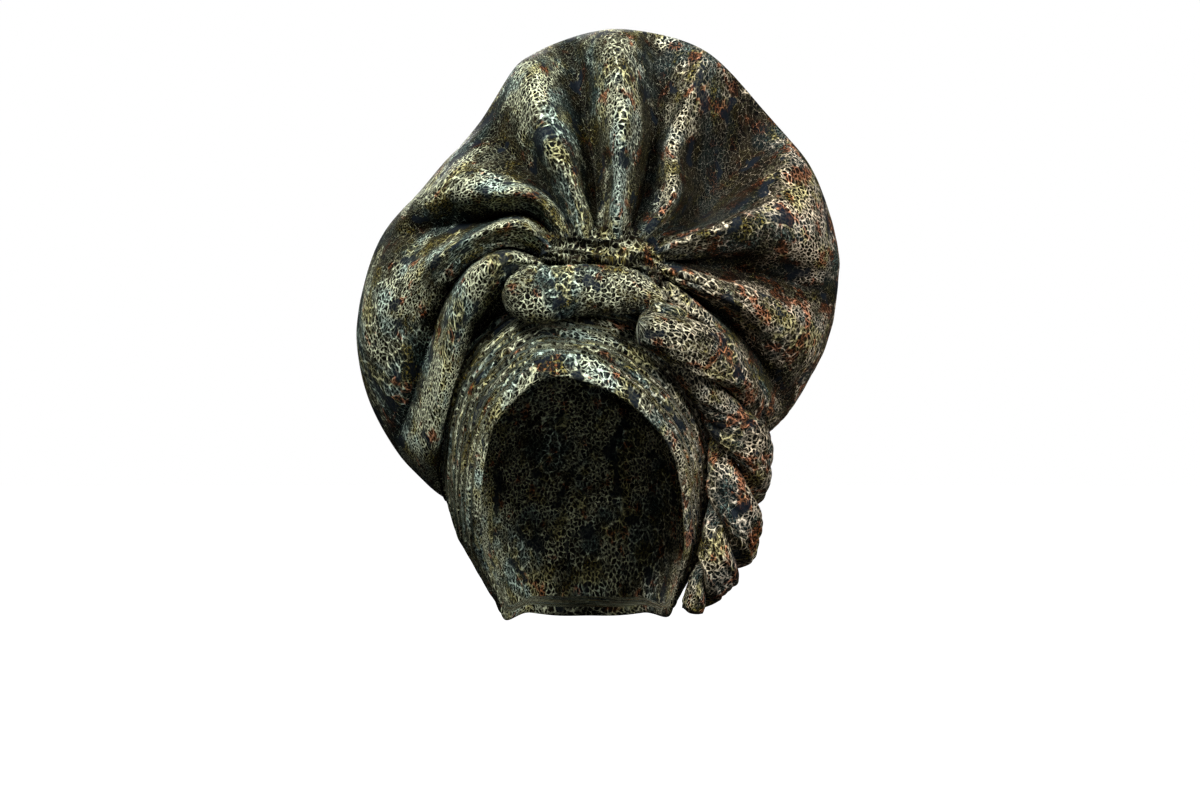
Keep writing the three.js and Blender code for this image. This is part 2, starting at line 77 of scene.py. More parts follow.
# %% Curves, noise and facing
def curve_through(points, at, closed=False):
    """Centripetal curve through points (n, ..., 3), read at places from 0 to 1."""
    points = np.asarray(points, float)
    at = np.asarray(at, float)
    count = len(points) if closed else len(points) - 1
    if closed:
        before = points[-1:]
        after = points[:2]
    else:
        before = 2 * points[:1] - points[1:2]
        after = 2 * points[-1:] - points[-2:-1]
    whole = np.concatenate([before, points, after])
    span = np.clip((at * count).astype(int), 0, count - 1)
    t = (at * count - span).reshape((-1,) + (1,) * (points.ndim - 1))
    a, b, c, d = (whole[span + k] for k in range(4))

    def gap(p, q):
        return np.maximum(np.linalg.norm(q - p, axis=-1, keepdims=True) ** 0.5, 1e-3)

    ab, bc, cd = gap(a, b), gap(b, c), gap(c, d)
    leave = ((b - a) / ab - (c - a) / (ab + bc) + (c - b) / bc) * bc
    reach = ((c - b) / bc - (d - b) / (bc + cd) + (d - c) / cd) * bc
    return (
        b
        + leave * t
        + (3 * (c - b) - 2 * leave - reach) * t**2
        + (2 * (b - c) + leave + reach) * t**3
    )


def crumple(points, size, seed=0):
    """Soft noise from -1 to 1 at each point; size is how far apart its bumps are."""
    flat = np.asarray(points, float).reshape(-1, 3) / size
    shift = Vector((seed * 17.3, seed * 5.1, seed * 9.7))
    values = [noise.noise(Vector(p) + shift) for p in flat]
    return np.array(values).reshape(np.asarray(points).shape[:-1])


def facing(points, closed=False):
    """The way a grid of points faces at each point."""
    if closed:
        along = np.roll(points, -1, 1) - np.roll(points, 1, 1)
    else:
        along = np.gradient(points, axis=1)
    up = np.gradient(points, axis=0)
    across = np.cross(along, up)
    return across / np.maximum(np.linalg.norm(across, axis=-1, keepdims=True), 1e-9)


arch = curve_through([[0, 0, 0], [1, 0, 1], [2, 0, 0]], [0, 0.25, 0.5])
print("a curve over an arch:", arch.round(2).tolist())


# %% [markdown]
# Every piece of cloth starts as a flat grid, like the cloth on the table, and its corners are then
# moved to where the cloth lies. A simulation could drop a flat sheet into place, but here each fold
# was tied by hand, so each one is placed from a table. The grid keeps two things for the material:
# its flat place, as a UV map in metres, so the print follows every fold, and a painted shading
# value, which makes the print denser and lighter where light falls and sparser and darker in shade.


# %% Make a grid of cloth
def cloth_grid(name, points, flat, closed=False, height=0.0):
    """A mesh from a flat grid: points (rows, columns, 3) in mm, flat (rows, columns, 2) in metres."""
    rows, columns = points.shape[:2]
    # height is painted shading: the print is made denser, so lighter, where light falls, and sparser,
    # so darker, in shade
    height = np.broadcast_to(height, (rows, columns))
    bm = bmesh.new()
    bmesh.ops.create_grid(bm, x_segments=columns - 1, y_segments=rows - 1, size=0.5)
    print_map = bm.loops.layers.uv.new("print")
    painted_shading = bm.verts.layers.float.new("painted_shading")
    place = {}
    for vert in bm.verts:
        column = round((vert.co.x + 0.5) * (columns - 1))
        row = round((vert.co.y + 0.5) * (rows - 1))
        place[vert] = (row, column)
        vert.co = points[row, column] * MM
        vert[painted_shading] = height[row, column]
    for face in bm.faces:
        for loop in face.loops:
            loop[print_map].uv = flat[place[loop.vert]]
    if closed:
        bmesh.ops.remove_doubles(bm, verts=bm.verts, dist=2e-6)
    bmesh.ops.recalc_face_normals(bm, faces=bm.faces)
    mesh = bpy.data.meshes.new(name)
    bm.to_mesh(mesh)
    bm.free()
    mesh.shade_smooth()
    piece = bpy.data.objects.new(name, mesh)
    bpy.context.scene.collection.objects.link(piece)
    print(name, "grid", rows, "x", columns, "faces", len(mesh.polygons))
    return piece


def wind_closed(points):
    """Repeats the first column at the end, for a grid that closes on itself."""
    return np.concatenate([points, points[:, :1]], axis=1)


def wind_print(flat, once_round):
    """Carries a flat map on by one turn, so the print isn't squeezed into the last column."""
    return np.concatenate([flat, flat[:, :1] + once_round], axis=1)


# %% [markdown]
# The whole tie is shaped round one hollow. A table gives its level sections, from the top down. A
# mesh could be tested with ray casts, but with the sections a ray from the middle finds at once
# where a layer of a given thickness ends, and the other pieces are kept out of the wrap in the same
# way.

# %% The hollow of the tie
head_sections = table(
    "depth shift side front rear",
    (0, 0, 0, 0, 0),
    (3, 0, 34, 44, 38),
    (11, 0, 50, 63, 58),
    (28, 0, 64, 77, 75),
    (50, 0, 74, 84, 85),
    (70, 0, 77, 88, 91),
    (90, 1, 77, 90, 94),
    (111, 1, 75, 88, 94),
    (124, 2, 73, 84, 92),
    (142, 4, 70, 76, 88),
    (157, 5, 63, 68, 84),
    (179, 6, 52, 58, 78),
    (205, 6, 47, 52, 74),
)
head_middle = np.array([0, 4, -88.0])
print("the hollow is", 2 * head_sections["side"].max(), "mm wide")


# %% Find the outside of a layer
def half_width(depth, column):
    return np.sqrt(np.interp(depth, head_sections["depth"], head_sections[column] ** 2))


def inside_layer(point, wall):
    """Whether points lie inside the hollow grown by a wall."""
    depth = wall - point[..., 2]
    level = np.maximum(0, depth * (1 - wall / 200))
    shift = np.interp(level, head_sections["depth"], head_sections["shift"])
    side = half_width(level, "side") + wall
    front = half_width(level, "front") + wall
    rear = half_width(level, "rear") + wall
    length = np.where(point[..., 1] < 0, front, rear)
    out = np.hypot((point[..., 0] - shift) / (side + 1e-6), point[..., 1] / (length + 1e-6))
    return (depth > 0) & (out < 1)


def on_layer(direction, wall):
    """Where rays from the middle of the hollow leave a layer of that thickness."""
    near = np.full(direction.shape[:-1], 20.0)
    far = np.full(direction.shape[:-1], 220.0)
    for _ in range(26):
        middle = (near + far) / 2
        inside = inside_layer(head_middle + direction * middle[..., None], wall)
        near = np.where(inside, middle, near)
        far = np.where(inside, far, middle)
    return head_middle + direction * near[..., None]


print("a 2 mm layer ends above the middle at", on_layer(np.array([0, 0, 1.0]), 2.0).round(1))

# %% [markdown]
# The wrap is the same cloth wound round in five or six layers. Each layer's folded edge shows as a
# thin dark line: eight close ones at the sides, which run together over the front into three broad
# strips. The lines could be painted, but real steps catch the light. So a table gives how far each
# folded edge lies from the edge of the wrap, at eight places round it and at the first again.

# %% The edge of the wrap and its folded layers
lip_wall = 3.4
crown_wall = 2.4
wrap_edge = table(
    "x z front",
    (6, -190, 0),
    (42, -188, 0),
    (61, -181, 1),
    (67, -157, 1),
    (69, -127, 1),
    (66, -100, 1),
    (59, -80, 1),
    (42, -59, 1),
    (20, -44, 1),
    (0, -37, 1),
    (-19, -36, 1),
    (-42, -53, 1),
    (-52, -66, 1),
    (-59, -90, 1),
    (-61, -127, 1),
    (-60, -149, 1),
    (-49, -179, 1),
    (-30, -188, 0),
)
wrap_pole = unit(np.array([0, 0.87, 0.5]))
wrap_columns = 320
wrap_reach = 88


def edge_directions():
    depth = -wrap_edge["z"]
    shift = np.interp(depth, head_sections["depth"], head_sections["shift"])
    side = half_width(depth, "side") + lip_wall
    front = half_width(depth, "front") + lip_wall
    rear = half_width(depth, "rear") + lip_wall
    across = np.clip((wrap_edge["x"] - shift) / side, -1, 1)
    length = np.where(wrap_edge["front"] > 0, -front, rear)
    y = np.sqrt(1 - across**2) * length
    return unit(np.stack([wrap_edge["x"], y, wrap_edge["z"]], -1) - head_middle)


dense_loop = curve_through(edge_directions(), np.arange(4000) / 4000, closed=True)
dense_steps = np.linalg.norm(np.roll(dense_loop, -1, 0) - dense_loop, axis=1)
dense_walk = np.concatenate([[0], np.cumsum(dense_steps)])
even = np.arange(wrap_columns) / wrap_columns * dense_walk[-1]
loop_share = np.interp(even, dense_walk, np.arange(4001) / 4000)
wrap_loop = unit(curve_through(edge_directions(), loop_share, closed=True))
wrap_whole = np.arccos(wrap_loop @ wrap_pole) * wrap_reach
wrap_heading = np.arctan2(wrap_loop[:, 0], -wrap_loop @ np.cross([1, 0, 0], wrap_pole))
print("edge of the wrap, mm:", round(float(dense_walk[-1] * wrap_reach)))

# Places round the edge: back, far low, far side, far high, front, near high, near side, near low
layer_places = np.array([0, 2.2, 4.4, 6.6, 9, 11.6, 14, 16, 18]) / 18
layer_edges = np.array(
    [
        (9, 7, 6, 7, 12.5, 5.5, 7, 7, 9),
        (18, 14, 12, 8.4, 13.6, 11, 15, 14, 18),
        (27, 21, 18, 17, 16.2, 16.5, 22, 22, 27),
        (36, 28, 24, 18.6, 17.4, 22, 30, 30, 36),
        (45, 34, 30, 28, 24.5, 28, 37, 37, 45),
        (54, 40, 36, 29.8, 26, 34, 44, 45, 54),
        (63, 46, 43, 38, 34, 40, 51, 54, 63),
        (72, 52, 50, 41, 36.5, 47, 58, 62, 72),
    ]
)
layer_step = 2.3
layer_sink = 1.5
layer_crown = 0.35
layer_groove = 0.85
print("folded edges of the wrap:", len(layer_edges))

# %% Thickness of the wound layers
# Each folded edge's distance from the wrap's edge, at every column round the loop
folded = np.array([np.interp(loop_share, layer_places, row) for row in layer_edges])
folded[1:] = np.maximum(folded[1:], folded[:-1] + 0.9)
wander = 0.5 * np.sin(np.arange(8)[:, None] * 2.1 + loop_share[None] * 2 * math.pi * 5)
folded = folded + wander * np.minimum(1, np.gradient(folded, axis=0) / 4)
wound_wall = lip_wall + len(folded) * (layer_step - layer_sink) - 0.2


def layered_wall(distance):
    """Thickness at a distance from the edge: each layer starts with a fold and sinks to the next."""
    wall = np.full(distance.shape, lip_wall)
    following = np.concatenate([folded[1:], folded[-1:] + 9])
    for edge, after in zip(folded, following):
        past = distance - edge
        width = np.maximum(after - edge, 0.6)
        rise = smoothstep((past + 0.35) / 0.9)
        crown = layer_crown * np.sin(math.pi * np.clip(past / width, 0, 1))
        groove = layer_groove * np.exp(-(((past + 0.65) / 0.4) ** 2))
        wall += layer_step * rise - layer_sink * np.clip(past / width, 0, 1)
        wall += crown * np.minimum(1, width / 5) - groove
    return np.maximum(wall, 1.8)


def wound_layers(direction):
    """A smooth allowance for the wound layers' thickness, in any direction from the hollow's middle."""
    flat = direction - (direction @ wrap_pole)[..., None] * wrap_pole
    starts = unit(wrap_loop - (wrap_loop @ wrap_pole)[:, None] * wrap_pole)
    nearest = (unit(flat).reshape(-1, 3) @ starts.T).argmax(1).reshape(direction.shape[:-1])
    whole = wrap_whole[nearest]
    distance = whole - np.arccos(np.clip(direction @ wrap_pole, -1, 1)) * wrap_reach
    pleated = folded[-1][nearest]
    t = np.clip((distance - pleated) / (whole - pleated), 0, 1)
    return mix(crown_wall, wound_wall, (1 - t) ** 3)


print("wall of the wrap, mm: edge", lip_wall, "wound", round(wound_wall, 1), "crown", crown_wall)

# %% [markdown]
# One grid makes the whole wrap, inside and out: it starts at the top of the hollow, runs down the
# inside, turns over the edge and climbs the outside. A Solidify modifier would give an even wall,
# but this wall is thicker where more layers lie. Rows are closest where the folded edges are, so
# each stays crisp.

# %% Rows of the wrap
inner_rows = 34
lip_rows = 7
pleat_rows = 118
crown_rows = 26
lip_bulge = 1.7

# Each wound layer shows another part of the print, this many mm further on
print_step = {"around": 37, "down": 61}


def toward_pole(share):
    """Directions turned from the wrap's edge toward its pole by a share of the way."""
    axis = unit(np.cross(wrap_loop, wrap_pole))
    angle = (wrap_whole / wrap_reach * share)[:, None]
    return wrap_loop * np.cos(angle) + np.cross(axis, wrap_loop) * np.sin(angle)


def layer_print(around, distance, layer):
    """Where a wound layer reads the print."""
    return np.stack([around + print_step["around"] * layer, distance + print_step["down"] * layer], -1)


def wrap_surface():
    rows = []
    flat = []
    girth = float(dense_walk[-1]) * wrap_reach
    around = np.arange(wrap_columns) / wrap_columns * girth
    for k in range(inner_rows):
        share = np.full(wrap_columns, 1 - k / inner_rows)
        rows.append(on_layer(toward_pole(share), np.zeros(wrap_columns)))
        reach = wrap_whole * (1 - share)
        flat.append(np.stack([np.cos(wrap_heading) * reach, np.sin(wrap_heading) * reach], -1))
    for k in range(lip_rows):
        turn = math.pi * k / (lip_rows - 1)
        reach = -lip_bulge * math.sin(turn)
        wall = lip_wall / 2 * (1 - math.cos(turn))
        share = reach / wrap_whole
        rows.append(on_layer(toward_pole(share), np.full(wrap_columns, wall)))
        flat.append(np.stack([around, np.full(wrap_columns, 2.6 * turn - 8.2)], -1))
    pleated = folded[-1] + 6
    for k in range(1, pleat_rows + 1):
        distance = pleated * k / pleat_rows
        rows.append(on_layer(toward_pole(distance / wrap_whole), layered_wall(distance)))
        flat.append(layer_print(around, distance, (distance[None] > folded).sum(0)))
    edge_wall = layered_wall(pleated)
    for k in range(1, crown_rows + 1):
        t = k / crown_rows
        distance = mix(pleated, wrap_whole, t)
        wall = mix(crown_wall, edge_wall, (1 - t) ** 3)
        rows.append(on_layer(toward_pole(distance / wrap_whole), wall))
        flat.append(layer_print(around, distance, len(folded)))
    once_round = np.zeros((len(rows), 1, 2))
    once_round[:, 0, 0] = girth
    once_round[:inner_rows] = 0
    return np.array(rows), wind_print(np.array(flat), once_round)


# %% Build the wrap
# Painted light on the plain pieces: their print is made denser, so lighter, as on a lit crest
painted_light_level = {"wrap": 0.4, "roll": 0.2, "strand": 0.25}
wrap_points, wrap_flat = wrap_surface()
wrinkle = crumple(wrap_points, 16, 3) * 0.5 + crumple(wrap_points * (1, 1, 0.3), 7, 5) * 0.25
outside = np.concatenate([np.zeros(inner_rows + lip_rows), np.ones(pleat_rows + crown_rows)])
wrap_points = wrap_points + facing(wrap_points, True) * (wrinkle * outside[:, None])[..., None]
head_wrap = cloth_grid(
    "wound_wrap", wind_closed(wrap_points), wrap_flat * MM, closed=True, height=painted_light_level["wrap"]
)

# %% [markdown]
# The fan is one wide end of the cloth, gathered above the roll and opened out. Its folds are the
# main feature, and no two are alike, so a repeated wave wouldn't do: each fold line has its own row
# in a table. It is a crest (1), a crease (0) or between the two, followed from the gather (g), past
# a point near it (n) and the bend (b), to the rim (r). A full crest (1) is round with a narrow
# crease beside it, and below 0 it is the crest that is narrow. The cloth then turns over the rim
# and comes down at the back.

# %% The folds of the fan
fan_wall = 1.6
piece_gap = 0.35
fan_folds = table(
    "crest full gx gz gy nx nz ny bx bz by rx rz ry",
    (0, 1, -18, 24, -60, -40, 3, -50, -57, -22, -8, -80, -114, 10),
    (0, 1, -19, 27, -60, -42, 16, -58, -63, -13, -34, -90, -108, 14),
    (1, 0.8, -20, 31, -72, -44, 34, -84, -69, 11, -76, -98, -101, 15),
    (0, 1, -18, 33, -60, -44, 41, -56, -74, 24, -42, -114, -84, 24),
    (0.5, 1, -17, 36, -60, -42, 46, -66, -80, 30, -60, -133, -49, 30),
    (1, 0.6, -13, 40, -72, -36, 55, -82, -78, 40, -74, -139, -8, 30),
    (0, 1, -10, 44, -60, -31, 63, -50, -58, 60, -38, -125, 49, 26),
    (1, 0.5, -4, 44, -74, -24, 71, -84, -52, 76, -78, -94, 83, 16),
    (0, 1, 0, 47, -60, -17, 76, -54, -34, 94, -44, -62, 121, 8),
    (1, 0.2, 6, 46, -76, -3, 76, -86, -17, 107, -84, -34, 159, 0),
    (0, 1, 13, 50, -60, 12, 78, -40, 8, 113, -34, -6, 175, 2),
    (1, 0.1, 24, 46, -77, 26, 78, -86, 28, 113, -88, 24, 179, -8),
    (0, 1, 33, 50, -60, 42, 78, -34, 50, 120, -20, 50, 177.5, -8),
    (1, -0.6, 41, 46, -76, 58, 70, -82, 61, 108, -42, 81.5, 165, -16),
    (0, 1, 44, 46, -58, 71, 63, -22, 89, 86, 3, 116.5, 130.5, -3),
    (0.6, 0.3, 47, 43, -62, 80, 51, -66, 112, 70, -60, 146, 93, -4),
    (1, 0.5, 49, 38, -74, 78, 48, -86, 104, 55, -84, 162, 49, 8),
    (0, 1, 50, 35, -60, 76, 31, -52, 100, 28, -42, 164, 14, 20),
    (1, 0.7, 51, 28, -74, 76, 19, -80, 106, 6, -74, 157, -17, 20),
    (0, 1, 52, 25, -60, 74, 10, -58, 98, -8, -46, 135, -57, 14),
    (1, 0.6, 52, 19, -72, 71, 3, -76, 89, -12, -66, 126, -67, 12),
    (0, 1, 51, 16, -60, 66, -2, -52, 80, -18, -34, 113, -77, 12),
    (0.5, 1, 47, 12, -60, 56, -8, -50, 64, -24, -14, 89, -82, 12),
)
fold_count = len(fan_folds["crest"])
fold_at = np.linspace(0, 1, fold_count)
back_sheet = {"depth": 54, "near": -122, "far": 122, "end": 112, "middle": 84, "lift": 3.4}
rim_roll = {"inside": 0.2, "inside depth": 0.6, "behind": 0.08, "behind depth": 18}
print("the fan has", fold_count, "fold lines")


# %% Lead each fold line over the rim
def fold_points(name):
    return np.stack([fan_folds[name + axis] for axis in ("x", "y", "z")], -1)


def fold_lines():
    """Eight points along each fold line, from the gather over the rim to the back of the wrap."""
    gather, near, bend, rim = (fold_points(name) for name in "gnbr")
    shoulder = mix(rim, bend, rim_roll["inside"])
    shoulder[:, 1] = mix(rim[:, 1], bend[:, 1], rim_roll["inside depth"])
    turn = np.radians(mix(back_sheet["near"], back_sheet["far"] - 360, fold_at))
    swell = np.sin(math.pi * fold_at)
    down = mix(back_sheet["end"], back_sheet["middle"], swell)
    level = np.stack([np.sin(turn) * 120, -np.cos(turn) * 120, -down], -1)
    direction = unit(level - head_middle)
    seat = on_layer(direction, wound_layers(direction) + back_sheet["lift"])
    turned = mix(rim, seat, rim_roll["behind"])
    turned[:, 1] = np.minimum(rim[:, 1] + rim_roll["behind depth"], mix(rim[:, 1], seat[:, 1], 0.5))
    middle = mix(rim, seat, 0.5)
    middle[:, 1] = mix(middle[:, 1], back_sheet["depth"], swell**0.5)
    return np.array([gather, near, bend, shoulder, rim, turned, middle, seat])


print("the rim is highest at", fan_folds["rz"].max(), "mm")

# %% [markdown]
# A tightly gathered fold isn't a wave: its crest is round and its crease is narrow, because the
# cloth on both sides leans into it, so there the depth follows a quarter of a sine wave. The tall
# folds in the middle are softer. One smooth surface through all the lines would lose that, so the
# depth between two lines is set apart.

# %% Shape the fan
front_rows = 92
back_rows = 52
columns_per_fold = 13


def fan_surface():
    lines = fold_lines()
    rim_at = 4 / 7
    u = np.concatenate(
        [
            rim_at * np.linspace(0, 1, front_rows + 1) ** 1.08,
            rim_at + (1 - rim_at) * np.linspace(0, 1, back_rows + 1)[1:] ** 1.15,
        ]
    )
    profiles = curve_through(lines, u)
    columns = (fold_count - 1) * columns_per_fold + 1
    across = np.linspace(0, 1, columns)
    surface = curve_through(np.swapaxes(profiles, 0, 1), across)
    surface = np.swapaxes(surface, 0, 1).copy()
    span = np.clip((across * (fold_count - 1)).astype(int), 0, fold_count - 2)
    t = across * (fold_count - 1) - span
    here = fan_folds["crest"][span]
    after = fan_folds["crest"][span + 1]
    rising = after > here
    full = np.where(rising, fan_folds["full"][span + 1], fan_folds["full"][span])
    climb = np.where(rising, t, 1 - t)
    bent = np.where(full > 0, np.sin(climb * math.pi / 2), 1 - np.cos(climb * math.pi / 2))
    height = mix(smoothstep(climb), bent, np.abs(full))
    weight = np.where(np.abs(after - here) < 0.4, smoothstep(t), np.where(rising, height, 1 - height))
    depth = mix(profiles[:, span, 1], profiles[:, span + 1, 1], weight)
    folded_share = smoothstep(u / 0.06) * (1 - smoothstep((u - rim_at + 0.16) / 0.16))
    surface[..., 1] = mix(surface[..., 1], depth, folded_share[:, None])
    return surface, u / rim_at, across, mix(here, after, weight) - 0.5


fan_mid, along_fold, across_fan, crest_share = fan_surface()
print("fan grid before its pleats", fan_mid.shape[:2])

# %% [markdown]
# Small pleats start at the gather and fade within a hand's width, dents break up the long folds,
# and soft hanging folds run down the back. They could be bump in the material, but then the outline
# and the shadows would stay smooth, so every point is moved along the way its cloth faces.

# %% Pleats, dents and hanging folds
# How far each kind stands out or in, in mm
fan_relief = {"pleat": 1.3, "sharp": 4.2, "fine": 0.8, "ripple": 1.7, "dent": 2.2, "small": 0.8}
back_relief = {"hanging": 3.2, "dent": 2.0, "small": 0.6}
fold_number = across_fan * (fold_count - 1)
normal = facing(fan_mid)
if normal[20, 150, 1] > 0:
    normal = -normal
walk = along_fold[:, None]
fine = np.sin(2 * math.pi * fold_number * 1.5 + 1.4 * np.sin(fold_number * 0.9))
finer = np.sin(2 * math.pi * fold_number * 3.2 + 2 * np.sin(fold_number * 1.7) + 3 * walk)
far_side = smoothstep((fold_number - 14.5) / 2)
bunch = smoothstep(walk / 0.05) * np.exp(-walk / (0.22 + 0.16 * far_side))
ripple_place = np.stack(np.broadcast_arrays(fold_number * 9 + walk * 6, walk * 26, walk * 0), -1)
ripple = crumple(ripple_place, 7, 2)
dent = crumple(fan_mid, 34, 7)
small_dent = crumple(fan_mid, 13, 9)
on_front = 1 - smoothstep((walk - 0.86) / 0.12)
behind = smoothstep((walk - 1.12) / 0.25)
sharp = np.abs(np.sin(math.pi * fold_number * 1.6 + 1.5 * walk)) ** 0.8 - 0.6
pleats = mix(fan_relief["pleat"] * fine, fan_relief["sharp"] * sharp, far_side)
puff = pleats * bunch + fan_relief["fine"] * finer * bunch
dents = fan_relief["ripple"] * ripple + fan_relief["dent"] * dent
dents = dents + fan_relief["small"] * small_dent
puff = puff + on_front * smoothstep(walk / 0.12) * dents
swag = np.sin(2 * math.pi * fold_number * 0.62 + 3.2 * crumple(fan_mid * (1, 1, 0.2), 90, 4))
hanging = back_relief["hanging"] * swag * smoothstep((walk - 1.1) / 0.5)
hanging = hanging + back_relief["dent"] * dent + back_relief["small"] * small_dent
puff = puff + behind * hanging
fan_points = fan_mid + normal * puff[..., None]
print("points of the fan move by up to", round(float(np.abs(puff).max()), 1), "mm")

# %% [markdown]
# The fan's folds and its back sheet lie on the wrap. A Shrinkwrap modifier would pull all of the
# sheet onto it. Here only the points that would lie inside the wrap are moved, out along a ray to
# its surface.


# %% Rest the fan on the wrap
def rest_on_wrap(points, lift):
    """Moves points that lie inside the wrap out to its surface."""
    ray = points - head_middle
    distance = np.linalg.norm(ray, axis=-1)
    direction = ray / distance[..., None]
    surface = on_layer(direction, wound_layers(direction) + lift)
    inside = distance < np.linalg.norm(surface - head_middle, axis=-1)
    return np.where(inside[..., None], surface, points)


fan_points = rest_on_wrap(fan_points, piece_gap + fan_wall)
print("fan reaches", fan_points.min((0, 1)).round(), fan_points.max((0, 1)).round())

# %% [markdown]
# The cloth was printed before it was gathered, so the print needs the fan's flat shape: a plain
# rectangle. An unwrap of the finished mesh would cut it up and turn the print. Instead the lengths
# along the folds and across them are measured, and evened out between neighbours.


# %% Lay the fan out flat for its print
def running_mean(values, count, **beyond):
    """Each value averaged with its neighbours; beyond says how np.pad carries on past the ends."""
    padded = np.pad(values, count // 2, **beyond)
    return np.convolve(padded, np.ones(count) / count, mode="valid")


def smooth_across(values, count=41):
    """Running mean over neighbouring columns."""
    return np.array([running_mean(row, count, mode="edge") for row in values])


def fan_flat(points):
    """The sheet before it was gathered, in metres: as wide as the cloth is across its folds."""
    steps = np.linalg.norm(np.diff(points, axis=0), axis=-1)
    walked = np.concatenate([np.zeros((1, points.shape[1])), np.cumsum(steps, 0)])
    whole = walked[front_rows]
    even_whole = smooth_across(whole[None])[0]
    front = walked / whole * even_whole
    behind_rim = smooth_across(np.maximum(walked - whole, 0))
    back = even_whole + 1.1 * behind_rim * (1 + behind_rim / behind_rim[-1])
    down = np.where(np.arange(len(points))[:, None] <= front_rows, front, back)
    width = np.linalg.norm(np.diff(points, axis=1), axis=-1)
    widths = width[int(front_rows * 0.15) : int(front_rows * 0.95)].mean(0)
    across = np.concatenate([[0], np.cumsum(widths)])
    print("the fan is gathered from", round(float(across[-1])), "mm of cloth")
    return np.stack([across + 0 * down, down], -1) * MM


# %% [markdown]
# The print is made densest on the crests, sparse in the creases and sparsest in the great hollow at
# the far side, and denser on the near side, under the key lamp. This is painted light on the crests
# and the near side and painted shade in the creases and the hollow, partly also a darker zone of the
# print. One even print would leave the folds to the lights alone. So each point is given this painted
# shading, and the material reads it.

# %% Make the fan
# Painted shading of the fan: painted shade in the creases and the great hollow, painted light on the
# crests and the near side
painted_shading_share = {"crease": 1.4, "near side": 0.35, "great hollow": 1.1}
near_side = 1 - smoothstep((fold_number - 3.5) / 1.5)
great_hollow = np.array([88, 86])
hollow_reach = np.array([25, 36])
from_hollow = ((fan_points[..., [0, 2]] - great_hollow) / hollow_reach) ** 2
fan_painted_shading = np.where(crest_share < 0, painted_shading_share["crease"], 1.0) * crest_share
fan_painted_shading = fan_painted_shading + painted_shading_share["near side"] * near_side
fan_painted_shading = fan_painted_shading - painted_shading_share["great hollow"] * np.exp(-from_hollow.sum(-1))
fan_painted_shading = fan_painted_shading * on_front * smoothstep(walk / 0.05)
fan = cloth_grid("pleated_fan", fan_points, fan_flat(fan_points), height=fan_painted_shading)
thicken = fan.modifiers.new("cloth thickness", "SOLIDIFY")
thicken.thickness = fan_wall * MM
thicken.offset = 0
thicken.use_even_offset = False

# %% [markdown]
# The gather is where all the folds are drawn together: a squat crumpled bundle between the roll and
# the fan. Its creases run sideways and a little down to the right, as the cloth is pulled round
# toward the rope. It could be many thin strips, but one closed form with two sizes of crease stays
# whole from every side.

# %% Build the gather
gather_middle = np.array([16, -69, 33.0])
gather_half = np.array([38, 12, 21.0])
gather_under = {"back": -65, "from": 36, "over": 10, "until": 30}
gather_pleats = {"fine": 9, "fine depth": 4.2, "wide": 4, "wide depth": 3.6, "tilt": 4.0}
dent_depth = 0.9
gather_print = {"length": 96, "radius": 15}


def gather_surface(rows=130, columns=256):
    t = np.linspace(0, 1, rows)[:, None]
    turn = np.linspace(math.pi, 3 * math.pi, columns, endpoint=False)[None]
    lean = turn + 0.7 * (t - 0.5)
    x = -np.cos(math.pi * t) * np.ones_like(turn)
    thin = np.sin(math.pi * t) ** 0.7
    bend = 2.2 * np.sin(4 * t + 2 * np.sin(turn)) + 0.9 * np.sin(13 * t + 2 * turn)
    pleat = np.abs(np.sin(lean * gather_pleats["fine"] + bend)) ** 0.7 - 0.62
    wide_pleat = np.abs(np.sin(lean * gather_pleats["wide"] - 0.6 * bend + 1)) ** 0.8 - 0.62
    shape = np.stack([x, -np.cos(turn) * thin, np.sin(turn) * thin], -1)
    points = gather_middle + shape * gather_half
    points[..., 2] -= gather_pleats["tilt"] * (t - 0.35)
    under = smoothstep((gather_under["from"] - points[..., 2]) / gather_under["over"])
    under = under * (1 - smoothstep((points[..., 0] - gather_under["until"]) / 14))
    points[..., 1] = mix(points[..., 1], np.maximum(points[..., 1], gather_under["back"]), under)
    pleats = gather_pleats["fine depth"] * pleat + gather_pleats["wide depth"] * wide_pleat
    swell = pleats * thin + crumple(points, 8, 11) * dent_depth
    points = points + facing(points, True) * swell[..., None]
    flat = np.stack([t * gather_print["length"] + 0 * turn, turn * gather_print["radius"] + 0 * t], -1)
    once_round = (0, 2 * math.pi * gather_print["radius"])
    # The third value is painted light and shade: denser, lighter print on the pleat crests, sparser,
    # darker print in their creases, and darker over the whole recessed gather
    return points, wind_print(flat, once_round), 0.9 * pleat - 0.3 + 0 * t


gather_points, gather_places, gather_painted_shading = gather_surface()
gather_points = rest_on_wrap(gather_points, piece_gap)
gather = cloth_grid(
    "gather_bundle",
    wind_closed(gather_points),
    gather_places * MM,
    closed=True,
    height=wind_closed(gather_painted_shading),
)

# %% [markdown]
# The roll is a padded tube of cloth across the front. It is full at the near end, where it is
# tucked under the first fold of the fan, and thinner at the far end, where the rope leaves it. Fine
# creases run across it. A cloth simulation with pressure would round it too, but wouldn't put the
# creases where they are, so the tube is lofted through nine sections and the creases are pressed
# in.

# %% Build the roll
roll_sections = table(
    "x z y height depth",
    (-45, 15, -74, 8, 8),
    (-41, 13, -77, 21, 18),
    (-30, 12.5, -82, 34, 28),
    (-18, 12.5, -85, 35, 30),
    (-4, 14.5, -86, 31, 28),
    (14, 15, -86, 30, 27),
    (34, 14.5, -83, 27, 25),
    (46, 11, -79, 20, 19),
    (55, 8, -74, 8, 8),
)
roll_print_radius = 15.5


